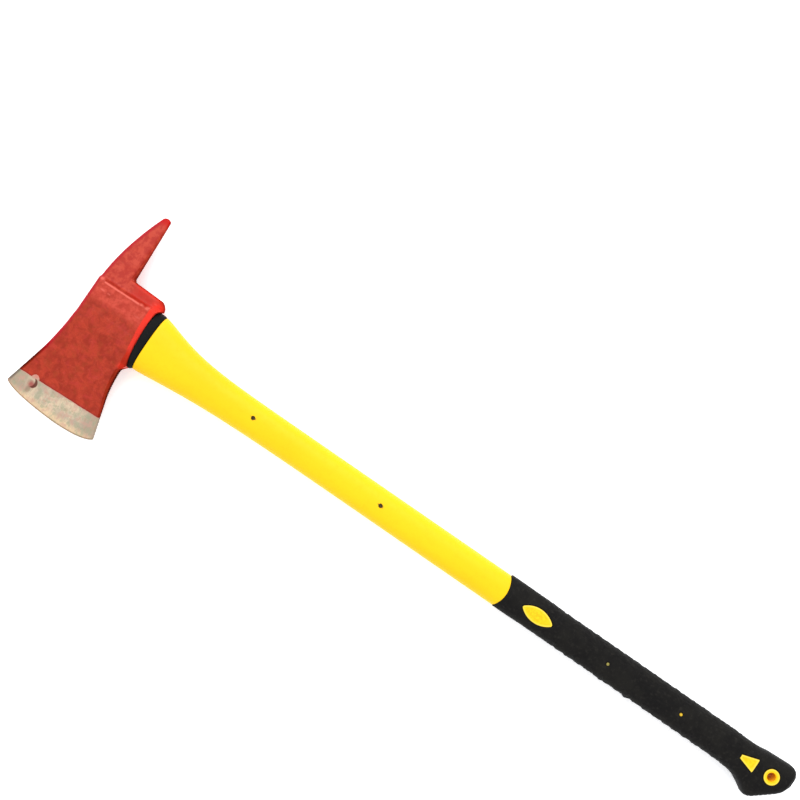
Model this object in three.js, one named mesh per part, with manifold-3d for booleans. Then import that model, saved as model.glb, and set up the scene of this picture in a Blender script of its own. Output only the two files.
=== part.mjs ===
// Pick-head fire axe with a moulded fibreglass handle, lying on its side.
// Millimetres, +Z up. X runs along the handle towards the butt, and the blade points to -Y.
// The origin is where the handle's centreline crosses the middle of the head, on the plane
// that the lower cheek lies on.
import * as THREE from 'three';
import { mergeVertices } from 'three/addons/utils/BufferGeometryUtils.js';
import Module from 'manifold-3d';

const wasm = await Module();
wasm.setup();

// Fit
const GAP = 0.3; // clearance that every two touching pieces keep

// Head, in plan
const CHEEK_HALF = 18; // half the thickness at the eye, and the height of the centre plane
const HEAD_TOP = -32.4; // end of the eye away from the handle
const END_LOW = 35.6; // end of the eye at the collar, over its pick half
const END_RISE = 5.2; // how much further that end reaches at its blade corner
const END_SPAN = [-28, 29.5]; // where it curves out, from the pick's side to the blade's
const LIP_TIP = [39.2, -36.8]; // tip of the lip beside the collar, on the pick's side
const POLL_CORNER = [34.6, -43.8]; // corner of the eye block behind that tip
const HEEL_ROOT = [35.2, 40]; // where the heel's flare starts, as [x, towards the blade]
const HEEL_BEND = [41.1, 72.5]; // where that flare turns straight
const TOE_BEND = [-41, 64];
const TOE = [-54, 110]; // cutting edge's corner away from the handle, as [x, towards the blade]
const HEEL = [54, 112]; // cutting edge's corner on the handle's side
const EDGE_CROWN = 120; // furthest point of the curved cutting edge
const POLL_BACK = 45.8; // flat back of the eye block, beside the pick
const PICK_ROOT = [-32.3, -4.2]; // the pick's two edges where it leaves the eye block
const PICK_TIP = 121; // distance of the pick's tip from the handle's centreline
const PICK_TIP_X = -10.5;
const PICK_TIP_HALF = 4.1;

// Head, in thickness
const EDGE_HALF = 0.4; // half the thickness left at the cutting edge
const BEVEL_START = 91; // where the ground bevel ends and the paint starts
const BEVEL_HALF = 5;
const LEDGE = 30; // where the eye block steps down to the pick plate
const PICK_PLATE_HALF = 12.5;
const RIM_DROP = 3.5; // slope round the eye's two ends
const RIM_LENGTH = 6;
const RIM_MIDDLE = 37.8; // end of the collar's rim slope on the handle's centreline
const RIM_SLANT = 0.094; // how that slope runs out towards the blade, with the eye's end

// Eye and core
const EYE = { centre: 3.4, half: 25, thick: 11.5 }; // centre is towards the pick
const CORE = { centre: 0, half: 13, thick: 9.5 };
const CORE_END = 806;

// Collar
const COLLAR_END = 46;
const COLLAR_PROUD = 0.4; // how far it stands out beyond the handle's shoulder
const COLLAR_FLARE = 1.6; // how much further it reaches towards the blade at the head
const COLLAR_EDGE = 1; // bevel of its edge on the handle's side

// Handle
const SHAFT_HALF_WIDTH = 18;
const SHAFT_HALF_THICK = 14.5;
// The shoulder under the head: how far it flares, and the length over which that dies away.
const POLL_FLARE = { reach: 17.1, length: 42.5 };
const BLADE_FLARE = { reach: 10.2, length: 70 };
const THICK_FLARE = { reach: 2.2, length: 50 };
const FLARE_POWER = 1.35;
const SHOULDER_END = 240;
const PIN_HOLES = [179, 337]; // holes left by the mould's core pins
const PIN_HOLE_RADIUS = 1.8;
const PIN_HOLE_OFFSET = 1.8; // towards the poll

// Grip
const GRIP_START = 494; // front edge on the centreline; its corners reach further forward
const GRIP_FRONT_BOW = 5;
const GRIP_WALL = 3; // rubber over the jacket
const BUTT_END = 846;
const BUTT_HALF_THICK = 17;
// The butt's reach towards the blade and the poll, and its half thickness, as [x, value] points.
const BUTT_BLADE = [
  [756, SHAFT_HALF_WIDTH], [782, 18.6], [794, 21.2], [804, 26.7], [808.5, 29.5], [811, 31.2],
  [813.5, 31.3], [818, 29.4], [838, 12.6], [842, 8.4], [BUTT_END, 1],
];
const BUTT_POLL = [
  [776, SHAFT_HALF_WIDTH], [785, 17.3], [798, 17.4], [805, 18], [811, 19.1], [840, 20.5],
  [844, 18.6], [BUTT_END, 15],
];
const BUTT_THICK = [
  [740, SHAFT_HALF_THICK + 1], [785, BUTT_HALF_THICK], [836, BUTT_HALF_THICK], [842, 15.5],
  [BUTT_END, 11],
];
const BUTT_SQUARE = [[760, 2.4], [800, 3.4]]; // how square the section is
const GRIP_PLACES = [
  480, 620, 740, 756, 770, 776, 782, 788, 794, 799, 804, 806, 808.5, 811, 813.5, 816, 818,
  825, 832, 838, 842, 844.5, BUTT_END,
];
const LENS = { x: 532.8, length: 38, width: 16.2 };
const WEDGE = { tip: 784.2, base: 802.8, tipHalf: 2.3, baseHalf: 7.9 };
const PIPS = [619.8, 710.5];
const PIP_RADIUS = 1.6;
const HANG_HOLE = { x: 822.2, radius: 4.5, ringRadius: 8.5 };
const BUTT_OFFSET = 0.5; // of the wedge, pips and hanging hole, towards the poll
const PAD_PROUD = 0.3; // how far the pads stand out of the rubber

const JACKET_START = COLLAR_END + GAP;

// ---------------------------------------------------------------- solids

// A closed geometry as a solid that can be cut and joined.
function solidOf(geometry) {
  const bare = geometry.clone();
  bare.deleteAttribute('normal');
  bare.deleteAttribute('uv');
  const merged = mergeVertices(bare, 1e-4);
  return new wasm.Manifold(new wasm.Mesh({
    numProp: 3,
    vertProperties: new Float32Array(merged.attributes.position.array),
    triVerts: new Uint32Array(merged.index.array),
  }));
}

function geometryOf(solid) {
  const { vertProperties, triVerts } = solid.getMesh();
  const geometry = new THREE.BufferGeometry();
  geometry.setAttribute('position', new THREE.BufferAttribute(vertProperties, 3));
  geometry.setIndex(new THREE.BufferAttribute(triVerts, 1));
  return geometry;
}

// A plan shape, drawn with y towards the blade, stood up from z = low to z = high.
function standing(shape, low, high, curveSegments = 8) {
  const depth = high - low;
  const geometry = new THREE.ExtrudeGeometry(shape, { depth, bevelEnabled: false, curveSegments });
  geometry.rotateX(Math.PI); // y towards the blade becomes -Y
  geometry.translate(0, 0, high);
  return solidOf(geometry);
}

// A rounded section at one place along the handle: how far it reaches towards the poll and the
// blade, its half thickness, and how square it is (2 is an ellipse).
function sectionRing({ x, poll, blade, thick, square = 2.4 }, sides) {
  const power = 2 / square;
  const centre = (poll - blade) / 2;
  const width = (poll + blade) / 2;
  return Array.from({ length: sides }, (_, i) => {
    const angle = (2 * Math.PI * i) / sides;
    const c = Math.cos(angle);
    const s = Math.sin(angle);
    return [
      x,
      centre + Math.sign(c) * width * Math.abs(c) ** power,
      CHEEK_HALF + Math.sign(s) * thick * Math.abs(s) ** power,
    ];
  });
}

// A closed body through sections at growing x.
function loft(sections, sides = 28) {
  const positions = [];
  const index = [];
  sections.forEach((section) => positions.push(...sectionRing(section, sides).flat()));
  for (let k = 0; k + 1 < sections.length; k += 1) {
    for (let i = 0; i < sides; i += 1) {
      const a = k * sides + i;
      const b = k * sides + ((i + 1) % sides);
      index.push(a, b, a + sides, b, b + sides, a + sides);
    }
  }
  const last = (sections.length - 1) * sides;
  for (let i = 1; i + 1 < sides; i += 1) {
    index.push(0, i + 1, i);
    index.push(last, last + i, last + i + 1);
  }
  const geometry = new THREE.BufferGeometry();
  geometry.setAttribute('position', new THREE.Float32BufferAttribute(positions, 3));
  geometry.setIndex(index);
  return solidOf(geometry);
}

// An oval bar along X. centre is measured towards the pick.
function ovalBar({ centre, half, thick }, from, to, grow = 0, square = 2.6) {
  const section = {
    poll: half + grow, blade: half + grow, thick: thick + grow, square,
  };
  return loft([{ x: from, ...section }, { x: to, ...section }], 28).translate(0, centre, 0);
}

// ---------------------------------------------------------------- head

function headPlan() {
  const [toeX, toeY] = TOE;
  const [heelX, heelY] = HEEL;
  const lipBlade = END_SPAN[1];
  const [cornerX, cornerY] = POLL_CORNER;
  const [rootTop, rootBottom] = PICK_ROOT;
  const [flareX, flareY] = HEEL_ROOT;
  const shape = new THREE.Shape();
  shape.moveTo(toeX, toeY);
  // The curved cutting edge, through its crown.
  shape.quadraticCurveTo(toeX + 8, EDGE_CROWN - 2, 8, EDGE_CROWN);
  shape.quadraticCurveTo(heelX - 10, EDGE_CROWN, heelX, heelY);
  // Heel flare down to the eye, its curved end, then the poll's back and the pick.
  shape.lineTo(...HEEL_BEND);
  shape.quadraticCurveTo(flareX + 1.2, flareY + 18, flareX, flareY);
  shape.lineTo(flareX + 0.4, lipBlade + 7);
  shape.lineTo(flareX + 2.4, lipBlade + 4.5);
  shape.lineTo(END_LOW + END_RISE - 0.8, lipBlade + 2);
  eyeEnd(shape, 0);
  shape.lineTo(cornerX + 3.2, cornerY + 3.3);
  shape.lineTo(cornerX, cornerY);
  shape.lineTo(cornerX - 3, -POLL_BACK);
  shape.lineTo(rootBottom + 1.8, -POLL_BACK - 1);
  shape.lineTo(rootBottom - 0.2, -POLL_BACK - 3.2);
  shape.lineTo(PICK_TIP_X + PICK_TIP_HALF, -PICK_TIP + 3);
  shape.quadraticCurveTo(PICK_TIP_X, -PICK_TIP - 1, PICK_TIP_X - PICK_TIP_HALF, -PICK_TIP + 3);
  shape.quadraticCurveTo(rootTop + 1.7, -POLL_BACK - 29, rootTop, -POLL_BACK + 10);
  shape.lineTo(HEAD_TOP, -LEDGE - 4);
  shape.lineTo(HEAD_TOP, 8);
  shape.quadraticCurveTo(HEAD_TOP - 2.5, 41.5, ...TOE_BEND);
  shape.lineTo(toeX, toeY);
  return shape;
}

// The line of the eye's end at the collar, from the blade's side to the lip's tip.
function eyeEnd(shape, grow) {
  const [pickSide, bladeSide] = END_SPAN;
  const [tipX, tipY] = LIP_TIP;
  const low = END_LOW + grow;
  shape.lineTo(low + END_RISE, bladeSide);
  shape.quadraticCurveTo(low, (pickSide + bladeSide) / 2, low, pickSide);
  shape.lineTo(low + 0.2, tipY + 4.3);
  shape.lineTo(low + 1.2, tipY + 1.5);
  shape.lineTo(tipX + grow, tipY);
}

// Everything from the eye's end at the collar on, towards the butt.
function belowHead(grow) {
  const reach = 2 * EDGE_CROWN;
  const shape = new THREE.Shape();
  shape.moveTo(reach, reach);
  shape.lineTo(END_LOW + END_RISE + grow, reach);
  eyeEnd(shape, grow);
  shape.lineTo(LIP_TIP[0] + grow, -reach);
  shape.lineTo(reach, -reach);
  return standing(shape, -reach, reach);
}

// Half thickness against distance towards the blade, from the pick's tip to the edge.
function headThickness() {
  const half = [
    [-PICK_TIP - 2, 2.6],
    [-PICK_TIP + 12, 5],
    [-POLL_BACK, PICK_PLATE_HALF - 0.5],
    [-LEDGE - 4, PICK_PLATE_HALF],
    [-LEDGE, CHEEK_HALF - 1.2],
    [-LEDGE + 3, CHEEK_HALF],
    [14, CHEEK_HALF],
    [38, CHEEK_HALF - 4],
    [62, 10],
    [BEVEL_START, BEVEL_HALF],
    [EDGE_CROWN + 0.5, EDGE_HALF],
  ];
  const shape = new THREE.Shape();
  half.forEach(([y, z], i) => (i ? shape.lineTo(y, z) : shape.moveTo(y, z)));
  [...half].reverse().forEach(([y, z]) => shape.lineTo(y, -z));
  const length = 2 * EDGE_CROWN;
  const geometry = new THREE.ExtrudeGeometry(shape, { depth: length, bevelEnabled: false });
  // Shape axes: first towards the blade (-Y), second up (+Z), depth along X.
  geometry.applyMatrix4(new THREE.Matrix4().makeBasis(
    new THREE.Vector3(0, -1, 0),
    new THREE.Vector3(0, 0, 1),
    new THREE.Vector3(-1, 0, 0),
  ));
  geometry.translate(length / 2, 0, CHEEK_HALF);
  return solidOf(geometry);
}

// Slopes one end of the eye (side is 1 for the collar's), and leaves the thinner blade and
// pick whole. slant leads the slope out towards the blade.
function eyeRim(end, side, slant) {
  const low = CHEEK_HALF - RIM_DROP;
  const far = EDGE_CROWN * side;
  const shape = new THREE.Shape();
  const outline = [[-far, CHEEK_HALF], [end - side * RIM_LENGTH, CHEEK_HALF], [end, low], [far, low]];
  outline.forEach(([x, z], i) => (i ? shape.lineTo(x, z) : shape.moveTo(x, z)));
  [...outline].reverse().forEach(([x, z]) => shape.lineTo(x, -z));
  const width = 3 * EDGE_CROWN;
  const geometry = new THREE.ExtrudeGeometry(shape, { depth: width, bevelEnabled: false });
  geometry.rotateX(Math.PI / 2);
  geometry.translate(0, width / 2, CHEEK_HALF);
  geometry.applyMatrix4(new THREE.Matrix4().makeShear(0, 0, -slant, 0, 0, 0));
  return solidOf(geometry);
}

function makeHead() {
  const blank = standing(headPlan(), 0, 2 * CHEEK_HALF, 10);
  const plain = blank.intersect(headThickness());
  const rimmed = plain.intersect(eyeRim(HEAD_TOP, -1, 0)).intersect(eyeRim(RIM_MIDDLE, 1, RIM_SLANT));
  return rimmed.subtract(ovalBar(EYE, HEAD_TOP - 10, COLLAR_END + 10));
}

// ---------------------------------------------------------------- core, resin and collar

function makeCore() {
  return ovalBar(CORE, HEAD_TOP, CORE_END);
}

function makeResin() {
  const plug = ovalBar(EYE, HEAD_TOP + 1, END_LOW, -GAP);
  return plug.subtract(ovalBar(CORE, HEAD_TOP - 5, END_LOW + 5, GAP));
}

function makeCollar() {
  const start = END_LOW - 2;
  const section = shoulderSection(JACKET_START, COLLAR_PROUD);
  const { blade } = section;
  const edge = shoulderSection(JACKET_START, COLLAR_PROUD - COLLAR_EDGE);
  const ring = loft([
    { ...section, x: start, blade: blade + COLLAR_FLARE },
    { ...section, x: COLLAR_END - COLLAR_EDGE },
    { ...edge, x: COLLAR_END },
  ]);
  return ring.intersect(belowHead(GAP)).subtract(ovalBar(CORE, start - 5, COLLAR_END + 5, GAP));
}

// ---------------------------------------------------------------- handle

// The jacket's section under the head, which flares most towards the poll.
function shoulderSection(x, grow = 0) {
  const flare = ({ reach, length }) => (
    reach * Math.exp(-(((x - JACKET_START) / length) ** FLARE_POWER))
  );
  return {
    x,
    poll: SHAFT_HALF_WIDTH + flare(POLL_FLARE) + grow,
    blade: SHAFT_HALF_WIDTH + flare(BLADE_FLARE) + grow,
    thick: SHAFT_HALF_THICK + flare(THICK_FLARE) + grow,
  };
}

// Value at x on straight lines through [x, value] points.
function along(points, x) {
  const next = points.findIndex(([px]) => px >= x);
  if (next < 0) return points[points.length - 1][1];
  if (next === 0) return points[0][1];
  const [x0, v0] = points[next - 1];
  const [x1, v1] = points[next];
  return v0 + ((v1 - v0) * (x - x0)) / (x1 - x0);
}

// The grip's outer section: the shaft's, then a beak towards the blade at the butt.
function gripSection(x, grow = 0) {
  return {
    x,
    poll: along(BUTT_POLL, x) + grow,
    blade: along(BUTT_BLADE, x) + grow,
    thick: along(BUTT_THICK, x) + grow,
    square: along(BUTT_SQUARE, x),
  };
}

function gripOuter(grow = 0) {
  return loft(GRIP_PLACES.map((x) => gripSection(x, grow)));
}

// A lens with pointed ends, for the long pad.
function lensShape(grow) {
  const { x, length, width } = LENS;
  const half = length / 2 + grow;
  const bulge = width + 2 * grow;
  const shape = new THREE.Shape();
  shape.moveTo(x - half, 0);
  shape.quadraticCurveTo(x, bulge, x + half, 0);
  shape.quadraticCurveTo(x, -bulge, x - half, 0);
  return shape;
}

// A wedge that points towards the head.
function wedgeShape(grow) {
  const { tip, base, tipHalf, baseHalf } = WEDGE;
  const shape = new THREE.Shape();
  shape.moveTo(tip - grow, -tipHalf);
  shape.lineTo(base - 2, -baseHalf - grow);
  shape.quadraticCurveTo(base + grow, -baseHalf - grow, base + grow, -baseHalf + 2);
  shape.lineTo(base + grow, baseHalf - 2);
  shape.quadraticCurveTo(base + grow, baseHalf + grow, base - 2, baseHalf + grow);
  shape.lineTo(tip - grow, tipHalf);
  return shape;
}

// A round bar through the thickness, offset towards the poll.
function roundPost(x, offset, radius, sides = 24) {
  const post = new THREE.CylinderGeometry(radius, radius, 6 * CHEEK_HALF, sides);
  post.rotateX(Math.PI / 2);
  post.translate(x, offset, CHEEK_HALF);
  return solidOf(post);
}

// Everything of the jacket that shows through the grip, as posts that run right through it.
function padPosts(grow) {
  const low = -2 * CHEEK_HALF;
  const high = 4 * CHEEK_HALF;
  return [
    standing(lensShape(grow), low, high),
    standing(wedgeShape(grow), low, high, 3).translate(0, BUTT_OFFSET, 0),
    roundPost(HANG_HOLE.x, BUTT_OFFSET, HANG_HOLE.ringRadius + grow, 32),
    ...PIPS.map((x) => roundPost(x, BUTT_OFFSET, PIP_RADIUS + grow, 12)),
  ].reduce((all, post) => all.add(post));
}

// Everything in front of the grip, whose front edge is bowed in plan.
function aheadOfGrip(grow) {
  const reach = 2 * EDGE_CROWN;
  const corner = GRIP_START - GRIP_FRONT_BOW;
  const shape = new THREE.Shape();
  shape.moveTo(-reach, -reach);
  shape.lineTo(corner, -reach);
  shape.lineTo(corner, -SHAFT_HALF_WIDTH);
  shape.quadraticCurveTo(GRIP_START + GRIP_FRONT_BOW, 0, corner, SHAFT_HALF_WIDTH);
  shape.lineTo(corner, reach);
  shape.lineTo(-reach, reach);
  return standing(shape, -reach, reach).translate(grow, 0, 0);
}

// The full-width jacket as far as the grip.
function bareJacket(grow) {
  const flared = [0, 5, 11, 18, 26, 35, 45, 57, 71, 88, 110, 140].map((d) => JACKET_START + d);
  const places = [...flared, SHOULDER_END, GRIP_START + GRIP_FRONT_BOW];
  const body = loft(places.map((x) => shoulderSection(x, grow)));
  return body.intersect(aheadOfGrip(grow));
}

// The jacket with grow added to every surface that touches the grip.
function jacketBody(grow, padTops) {
  const inner = loft(GRIP_PLACES.filter((x) => x < BUTT_END - 4)
    .map((x) => gripSection(x, grow - GRIP_WALL)));
  return bareJacket(grow).add(inner).add(padPosts(grow).intersect(padTops));
}

function makeJacket() {
  const solid = jacketBody(0, gripOuter(PAD_PROUD));
  const pinHoles = PIN_HOLES.map((x) => roundPost(x, PIN_HOLE_OFFSET, PIN_HOLE_RADIUS, 12));
  return [
    ovalBar(CORE, 0, CORE_END + GAP, GAP),
    roundPost(HANG_HOLE.x, BUTT_OFFSET, HANG_HOLE.radius),
    ...pinHoles,
  ].reduce((body, cut) => body.subtract(cut), solid);
}

function makeGrip() {
  return gripOuter()
    .subtract(aheadOfGrip(GAP))
    .subtract(jacketBody(GAP, gripOuter(10 * PAD_PROUD)));
}

// ---------------------------------------------------------------- assembly

function material(color, roughness, metalness) {
  return new THREE.MeshStandardMaterial({ color, roughness, metalness });
}

function mesh(name, solid, look) {
  const made = new THREE.Mesh(geometryOf(solid), look);
  made.name = name;
  return made;
}

const axe = new THREE.Group();
axe.add(
  mesh('axe_head', makeHead(), material('#c03a2c', 0.55, 0.1)),
  mesh('eye_resin', makeResin(), material('#2c2a26', 0.4, 0)),
  mesh('fibreglass_core', makeCore(), material('#b9a06a', 0.5, 0)),
  mesh('shoulder_collar', makeCollar(), material('#1c1c20', 0.7, 0)),
  mesh('handle_jacket', makeJacket(), material('#ffe020', 0.4, 0)),
  mesh('grip_sleeve', makeGrip(), material('#212121', 0.8, 0)),
);

export default axe;
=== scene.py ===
"""Looks of a pick-head fire axe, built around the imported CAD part.

Sizes are millimetres in the part's own frame: x runs along the handle to the butt, z is up, and
"b" is the distance towards the blade, so y is -b. Heights are measured from the centre plane.
"""

import math

import bmesh
import bpy
import numpy as np
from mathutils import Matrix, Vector, noise
from mathutils.geometry import delaunay_2d_cdt


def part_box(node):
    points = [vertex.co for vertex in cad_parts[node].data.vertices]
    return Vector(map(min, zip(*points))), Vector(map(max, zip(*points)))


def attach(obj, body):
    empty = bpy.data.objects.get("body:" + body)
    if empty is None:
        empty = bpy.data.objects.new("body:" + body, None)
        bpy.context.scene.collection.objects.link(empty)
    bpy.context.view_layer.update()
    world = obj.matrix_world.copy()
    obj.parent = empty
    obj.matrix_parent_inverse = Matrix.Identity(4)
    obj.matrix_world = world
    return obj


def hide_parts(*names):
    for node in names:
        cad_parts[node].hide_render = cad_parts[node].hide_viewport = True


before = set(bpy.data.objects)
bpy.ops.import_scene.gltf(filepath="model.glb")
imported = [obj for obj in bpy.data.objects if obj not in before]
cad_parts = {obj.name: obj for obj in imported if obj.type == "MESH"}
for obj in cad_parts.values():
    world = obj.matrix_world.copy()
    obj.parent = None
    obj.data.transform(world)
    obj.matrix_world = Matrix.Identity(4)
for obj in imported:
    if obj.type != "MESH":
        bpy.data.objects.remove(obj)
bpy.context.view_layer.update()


def box_mm(node):
    return [np.array(corner) * 1000 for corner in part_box(node)]


HEAD_LOW, HEAD_HIGH = box_mm("axe_head")
CORE_LOW, CORE_HIGH = box_mm("fibreglass_core")
RESIN_LOW, RESIN_HIGH = box_mm("eye_resin")
COLLAR_LOW, COLLAR_HIGH = box_mm("shoulder_collar")
JACKET_LOW = box_mm("handle_jacket")[0]
GRIP_LOW, GRIP_HIGH = box_mm("grip_sleeve")
MIDDLE = (HEAD_LOW[2] + HEAD_HIGH[2]) / 2  # height of the centre plane
CHEEK = (HEAD_HIGH[2] - HEAD_LOW[2]) / 2  # half the head's thickness
GAP = 0.3  # between pieces that touch

# Head
EYE_TOP = CORE_LOW[0]  # end of the eye away from the handle
END_LOW = COLLAR_LOW[0] - GAP  # its end at the collar, over its pick half
END_RISE = 5.2  # how much further that end reaches at its blade corner
END_SPAN = (-28, 29.5)
LIP_TIP = (39.2, -36.8)
POLL_CORNER = (34.6, -43.8)
TOE = (HEAD_LOW[0], 110)
HEEL = (HEAD_HIGH[0], 112)
HEEL_ROOT = (35.2, 40)
HEEL_BEND = (41.1, 72.5)
TOE_BEND = (-41, 64)
EDGE = -HEAD_LOW[1]  # furthest point of the cutting edge
PICK_TIP = HEAD_HIGH[1]
PICK_TIP_X = -10.5
PICK_TIP_HALF = 4.1
PICK_ROOT = (-32.3, -4.2)
POLL_BACK = 45.8
RIM_DROP = 3.2  # how far the bright rim above the collar slopes down
RIM_WIDTH = [(-38, 6.4), (-12, 6.2), (8, 5.0), (18, 4.4), (30, 5.2)]  # against b
LEDGE = -30.85  # the seam along the step down to the pick, at x = 0
LEDGE_SLANT = -0.027
# Half thickness, and the rounding of the outline's edges, against b.
HALF_THICKNESS = [
    (-123, 2.8), (-109, 5), (-46, 12), (-37, 12.7), (-34.9, 13.3), (-33.3, 16.7), (-32.1, 17.7),
    (-30.3, CHEEK), (14, CHEEK), (38, 14), (62, 10), (91, 5.2), (120.5, 0.4),
]
EDGE_ROUNDING = [
    (-121, 1.8), (-100, 2.6), (-48, 3.2), (-33, 3.4), (-28, 4), (24, 4), (36, 2.6), (60, 1.6),
    (90, 1.2), (104, 0.5), (121, 0.05),
]
SEAM_SPAN = (-24, 18)
SEAM_HALF = 1.1
SEAM_HEIGHT = 0.5
PAINT_LINE = [(-48.1, 93.5), (47.2, 89.6)]
GROUND_STEP = 0.3  # the ground bevel lies this far under the paint
CHIP = (-29.3, 95.5)
EYE = {"centre": -3.4, "half": 25, "thick": 11.5, "square": 2.6}
CORE = {"centre": 0, "half": 13, "thick": 9.5, "square": 2.6}

# Handle
SHAFT_HALF_WIDTH = 18
SHAFT_HALF_THICK = 14.5
# The shoulder's flares: how far they reach, and the length over which they die away.
POLL_FLARE = (17.1, 42.5)
BLADE_FLARE = (10.2, 70)
THICK_FLARE = (2.2, 50)
FLARE_POWER = 1.35
COLLAR_PROUD = 0.4
COLLAR_FLARE = 1.6
PIN_HOLES = (179, 337)
PIN_HOLE_RADIUS = 1.8
PIN_HOLE_OFFSET = 1.8  # towards the poll

# Grip
FRONT_BOW = 5
GRIP_WALL = 3
BUTT_BLADE = [
    (756, 18), (782, 18.6), (794, 21.2), (804, 26.7), (808.5, 29.5), (811, 31.2), (813.5, 31.3),
    (818, 29.4), (838, 12.6), (842, 8.4), (846, 1),
]
BUTT_POLL = [
    (776, 18), (785, 17.3), (798, 17.4), (805, 18), (811, 19.1), (840, 20.5), (844, 18.6),
    (846, 15),
]
BUTT_THICK = [(740, 15.5), (785, 17), (836, 17), (842, 15.5), (846, 11)]
BUTT_SQUARE = [(760, 2.4), (800, 3.4)]
LENS = {"x": 532.8, "half": 19, "rise": 8.1}
NUBS = (624.4, 656.3)  # two moulding nubs on the grip's blade edge
WEDGE = {"tip": 784.2, "base": 802.8, "tip_half": 2.3, "base_half": 7.9}
PIPS = (619.8, 710.5)
PIP_RADIUS = 1.6
HANG_HOLE = {"x": 822.2, "radius": 4.5, "ring": 8.5}
BUTT_OFFSET = 0.5  # of the wedge, pips and hanging hole, towards the poll
PAD_PROUD = 0.3
TREAD_PITCH = 12.2
TREADS = (556, 786)
TREAD_HEIGHT = 0.9


# ---------------------------------------------------------------- curves and profiles

def smoothstep(value, low, high):
    t = np.clip((value - low) / (high - low), 0, 1)
    return t * t * (3 - 2 * t)


def fall(value, low, high):
    return 1 - smoothstep(value, low, high)


def softened(table, at, reach=1.5):
    """Straight lines through (place, value) points, averaged over reach to either side."""
    places, values = np.array(table, float).T
    shifts = np.linspace(-reach, reach, 9)
    return np.mean([np.interp(at + shift, places, values) for shift in shifts], axis=0)


def trace(start, *steps, spacing=0.5, soft=0.6):
    """An outline through points, evenly spaced and softened at its corners.

    A step is a point, or a pair of a control point and a point where the line bends.
    """
    points = [np.array([start], float)]
    for step in steps:
        here = points[-1][-1]
        if np.ndim(step) == 1:
            points.append(np.linspace(here, step, 100)[1:])
        else:
            control, end = np.array(step, float)
            t = np.linspace(0, 1, 100)[1:, None]
            points.append((1 - t) ** 2 * here + 2 * t * (1 - t) * control + t**2 * end)
    line = np.concatenate([*points, points[0]])
    run = np.concatenate([[0], np.cumsum(np.linalg.norm(np.diff(line, axis=0), axis=1))])
    count = int(run[-1] / spacing)
    at = np.arange(count) * run[-1] / count
    even = np.column_stack([np.interp(at, run, line[:, 0]), np.interp(at, run, line[:, 1])])
    reach = int(3 * soft / spacing) + 1
    weights = [math.exp(-0.5 * (k * spacing / soft) ** 2) for k in range(-reach, reach + 1)]
    turned = [w * np.roll(even, k, axis=0) for w, k in zip(weights, range(-reach, reach + 1))]
    return sum(turned) / sum(weights)


def circle(x, b, radius, count=64):
    turn = np.arange(count) * 2 * math.pi / count
    return np.column_stack([x + radius * np.cos(turn), b + radius * np.sin(turn)])


def oval(poll, blade, thick, square, count):
    """A rounded section, evenly spaced from the poll's side: y, z, and the run round it."""
    turn = np.linspace(0, 2 * math.pi, 1441)
    c, s = np.cos(turn), np.sin(turn)
    power = 2 / square
    y = (poll - blade) / 2 + (poll + blade) / 2 * np.sign(c) * np.abs(c) ** power
    z = thick * np.sign(s) * np.abs(s) ** power
    run = np.concatenate([[0], np.cumsum(np.hypot(np.diff(y), np.diff(z)))])
    at = np.arange(count) * run[-1] / count
    return np.interp(at, run, y), np.interp(at, run, z), at, run[-1]


def shoulder(x):
    """The jacket's poll reach, blade reach, half thickness and squareness at x."""
    def flare(reach, length):
        return reach * math.exp(-((max(0.0, x - JACKET_LOW[0]) / length) ** FLARE_POWER))
    poll = SHAFT_HALF_WIDTH + flare(*POLL_FLARE)
    blade = SHAFT_HALF_WIDTH + flare(*BLADE_FLARE)
    return poll, blade, SHAFT_HALF_THICK + flare(*THICK_FLARE), 2.4


def butt(x):
    """The grip's poll reach, blade reach, half thickness and squareness at x."""
    reaches = [softened(t, x, 1.0) for t in (BUTT_POLL, BUTT_BLADE, BUTT_THICK)]
    return *reaches, softened(BUTT_SQUARE, x)


def grown(section, by):
    poll, blade, thick, square = section
    return poll + by, blade + by, thick + by, square


def eye_end(b):
    """Where the eye's curved end at the collar lies, at b."""
    low, high = END_SPAN
    share = np.clip((b - low) / (high - low), 0, 1)
    tip = np.interp(-b, [29, -LIP_TIP[1] - 4.3, -LIP_TIP[1] - 1.5], [0, 0.2, 1.2])
    return END_LOW + END_RISE * share**2 + tip


def front_bow(y):
    """How far the grip's front edge stands back from its corners at y."""
    return FRONT_BOW * (1 - np.minimum(np.abs(y) / SHAFT_HALF_WIDTH, 1) ** 2)


# ---------------------------------------------------------------- meshes

def linked(name, data):
    obj = bpy.data.objects.new(name, data)
    bpy.context.scene.collection.objects.link(obj)
    return obj


def mesh_object(name, points, faces):
    """An object from points in millimetres, measured from the centre plane, faces turned out."""
    mesh = bpy.data.meshes.new(name)
    placed = (np.asarray(points, float) + [0, 0, MIDDLE]) * 0.001
    mesh.from_pydata(placed, [], faces)
    work = bmesh.new()
    work.from_mesh(mesh)
    bmesh.ops.recalc_face_normals(work, faces=work.faces)
    work.to_mesh(mesh)
    work.free()
    return linked(name, mesh)


def skin(rings, closed=False):
    """Points and faces of a skin through rings of equally many points, its ends capped."""
    rings = np.asarray(rings, float)
    count, sides = rings.shape[:2]
    points = rings.reshape(-1, 3)
    faces = []
    for k in range(count if closed else count - 1):
        a, b = k * sides, (k + 1) % count * sides
        faces += [(a + i, a + (i + 1) % sides, b + (i + 1) % sides, b + i) for i in range(sides)]
    if not closed:
        points = np.vstack([points, rings[0].mean(0), rings[-1].mean(0)])
        start, end = count * sides, count * sides + 1
        last = (count - 1) * sides
        faces += [(start, (i + 1) % sides, i) for i in range(sides)]
        faces += [(end, last + i, last + (i + 1) % sides) for i in range(sides)]
    return points, faces


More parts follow.
